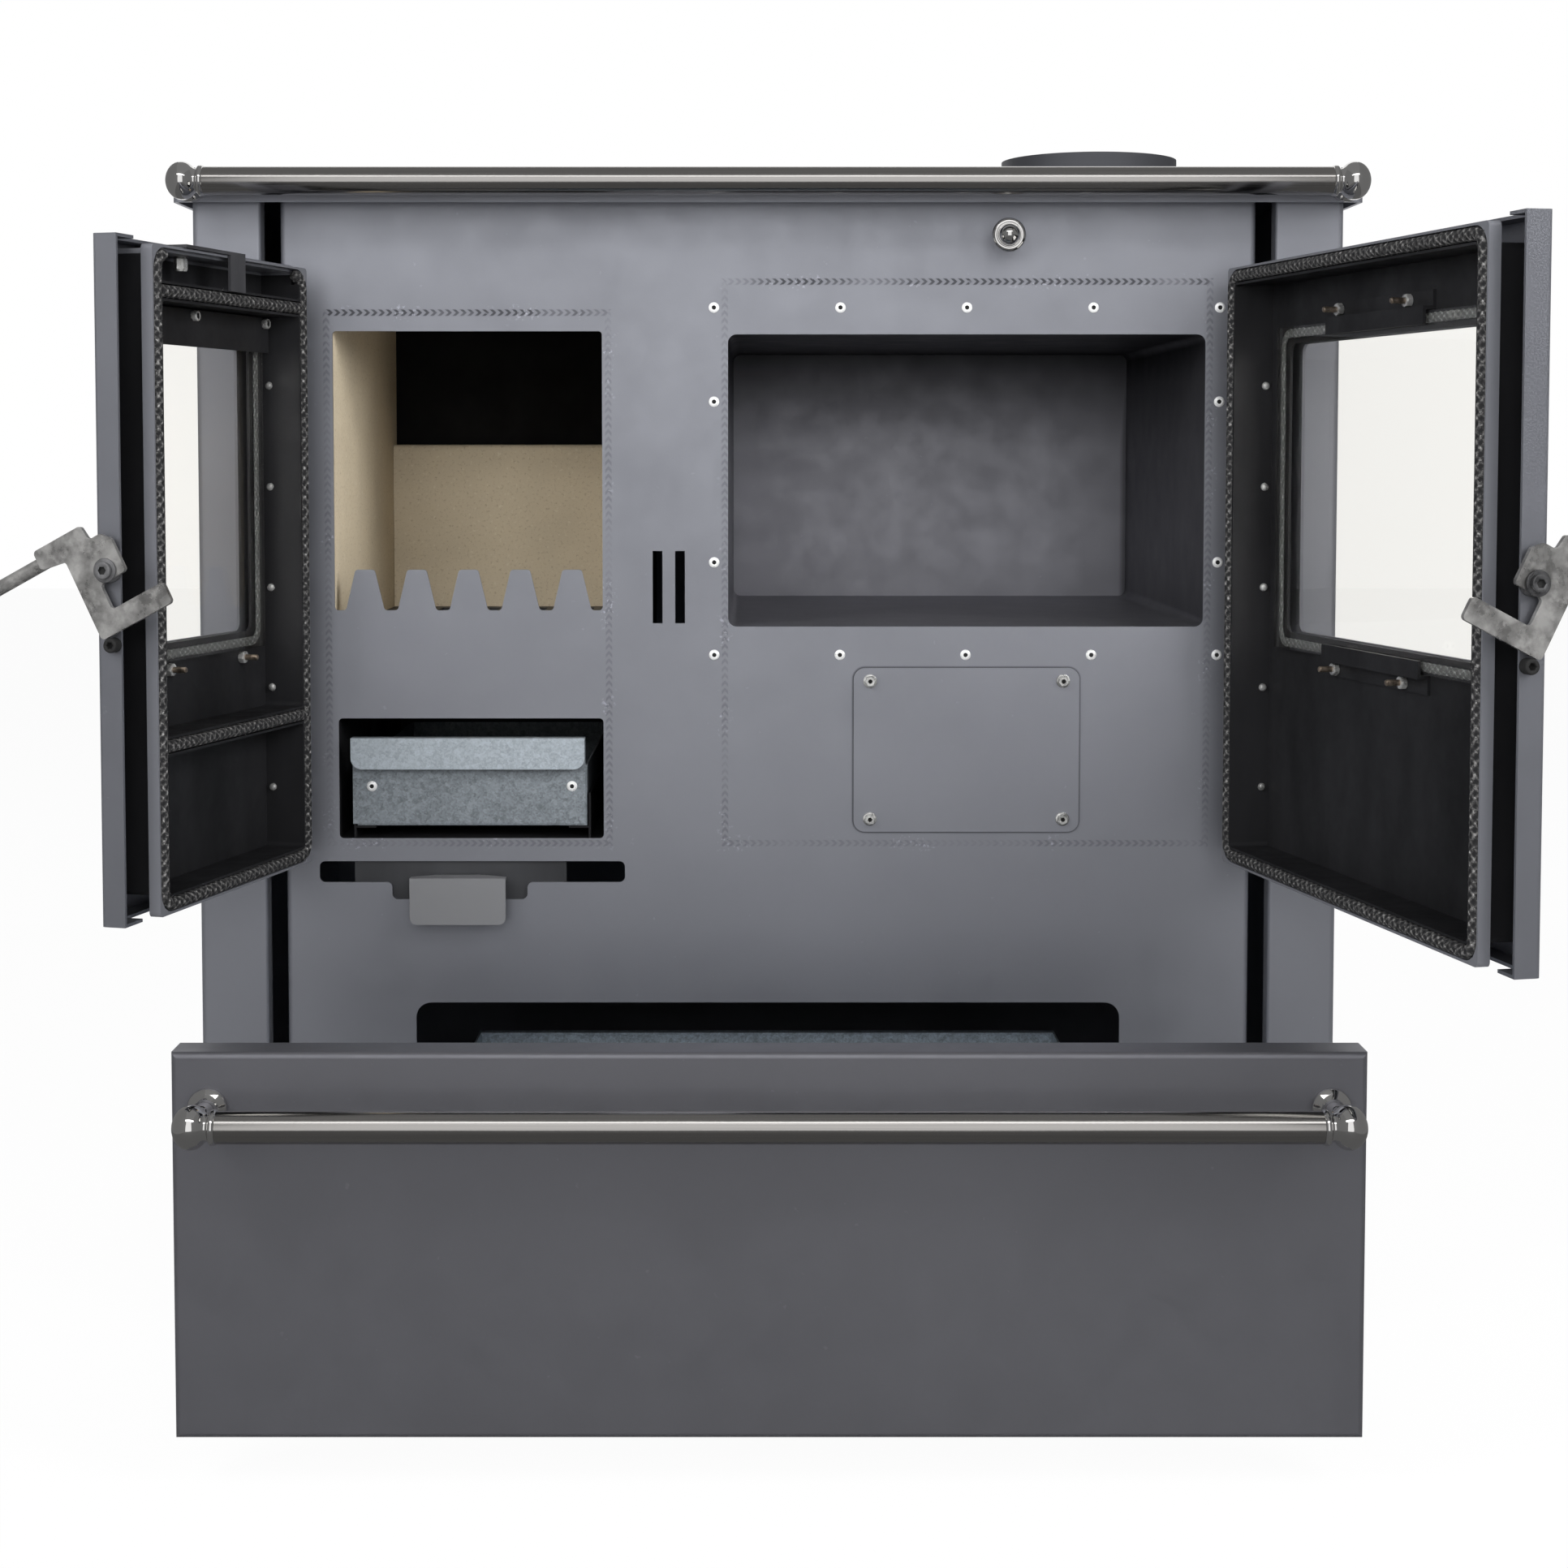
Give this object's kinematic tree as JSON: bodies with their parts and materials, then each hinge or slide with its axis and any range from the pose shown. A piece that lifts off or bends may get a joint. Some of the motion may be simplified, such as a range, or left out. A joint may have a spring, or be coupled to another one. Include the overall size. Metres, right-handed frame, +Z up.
{
  "type": "wood cookstove",
  "caption": "Wood-fired cookstove with a sheet-steel cabinet, glazed firebox and oven doors standing open, ash drawer, pull-out wood drawer and round rails.",
  "frame": {"origin": "centre of the cabinet's footprint, on the floor", "axes": "+X to the right seen from the front, +Y from the front panel to the back, +Z up along the flue"},
  "size_m": [1.0514, 0.9553, 0.8765],
  "materials": {
    "coat": "satin",
    "coat_dark": "satin",
    "black_steel": "matte",
    "cast_iron": "matte",
    "stainless": "satin",
    "chrome": "polished",
    "zinc": "satin",
    "galvanised": "satin",
    "rivet": "satin",
    "fireclay": "matte",
    "rope": "matte",
    "glass": "polished",
    "tab_grey": "satin"
  },
  "bodies": {
    "cabinet": {"base_plinth": "coat_dark", "left_side_panel": "coat", "right_side_panel": "coat", "back_panel": "coat_dark", "front_panel": "coat", "top_frame": "coat", "hob_plate": "cast_iron", "flue_collar": "black_steel", "top_rail": "stainless", "top_rail_ends": "chrome", "oven_liner": "black_steel", "oven_rivets": "rivet", "access_cover": "coat", "access_screws": "zinc", "firebox_shell": "black_steel", "firebrick_sides": "fireclay", "firebrick_back": "fireclay", "fire_grate": "cast_iron", "ash_chamber": "black_steel", "ash_runners": "black_steel", "drawer_runners": "galvanised", "hinge_ears": "coat_dark", "hinge_pins": "zinc"},
    "hob_lid": {"hob_lid": "cast_iron"},
    "wood_drawer": {"drawer_front": "coat_dark", "drawer_box": "galvanised", "drawer_rail": "stainless", "drawer_rail_ends": "chrome"},
    "ash_drawer": {"ash_tray": "galvanised", "ash_lip": "galvanised", "ash_rivets": "rivet"},
    "air_slide": {"air_slide": "tab_grey"},
    "damper": {"damper_rod": "zinc", "damper_knob": "chrome", "damper_plate": "black_steel"},
    "fire_door": {"fire_door_shell": "coat_dark", "fire_door_frame": "black_steel", "fire_door_gasket": "rope", "fire_door_cross_ropes": "rope", "fire_door_glass": "glass", "fire_door_glass_seal": "rope", "fire_door_glass_retainer": "black_steel", "fire_door_screws": "zinc", "fire_door_lugs": "coat_dark", "fire_door_latch_screws": "zinc"},
    "fire_air": {"fire_air_slider": "coat_dark"},
    "fire_latch": {"fire_latch_lever": "zinc", "fire_latch_handle": "stainless"},
    "oven_door": {"oven_door_shell": "coat_dark", "oven_door_frame": "black_steel", "oven_door_gasket": "rope", "oven_door_glass": "glass", "oven_door_glass_seal": "rope", "oven_door_glass_clips": "black_steel", "oven_door_screws": "zinc", "oven_door_lugs": "coat_dark", "oven_door_latch_screws": "zinc"},
    "oven_latch": {"oven_latch_lever": "zinc", "oven_latch_handle": "stainless"}
  },
  "joints": [
    {"name": "fire_door_hinge", "type": "hinge", "parent": "cabinet", "child": "fire_door", "pos_m": [-0.329, -0.286, 0.55], "axis": [0, 0, -1], "range_deg": [-105, 5]},
    {"name": "oven_door_hinge", "type": "hinge", "parent": "cabinet", "child": "oven_door", "pos_m": [0.329, -0.286, 0.55], "axis": [0, 0, 1], "range_deg": [-102, 8]},
    {"name": "fire_latch_pivot", "type": "hinge", "parent": "fire_door", "child": "fire_latch", "pos_m": [-0.39293, -0.52846, 0.556], "axis": [0.2588, 0.9659, 0], "range_deg": [0, 30]},
    {"name": "oven_latch_pivot", "type": "hinge", "parent": "oven_door", "child": "oven_latch", "pos_m": [0.40916, -0.66793, 0.556], "axis": [0.2079, -0.9781, 0], "range_deg": [0, 30]},
    {"name": "fire_air_slide", "type": "slide", "parent": "fire_door", "child": "fire_air", "axis": [-0.2588, -0.9659, 0], "range_m": [0, 0.02]},
    {"name": "wood_drawer_slide", "type": "slide", "parent": "cabinet", "child": "wood_drawer", "axis": [0, -1, 0], "range_m": [-0.234, 0.08]},
    {"name": "ash_drawer_slide", "type": "slide", "parent": "cabinet", "child": "ash_drawer", "axis": [0, -1, 0], "range_m": [0, 0.2]},
    {"name": "primary_air_slide", "type": "slide", "parent": "cabinet", "child": "air_slide", "axis": [1, 0, 0], "range_m": [-0.04, 0.06]},
    {"name": "damper_pull", "type": "slide", "parent": "cabinet", "child": "damper", "axis": [0, -1, 0], "range_m": [0, 0.08]},
    {"name": "hob_lid_lift", "type": "slide", "parent": "cabinet", "child": "hob_lid", "axis": [0, 0, 1], "range_m": [0, 0.03]}
  ]
}
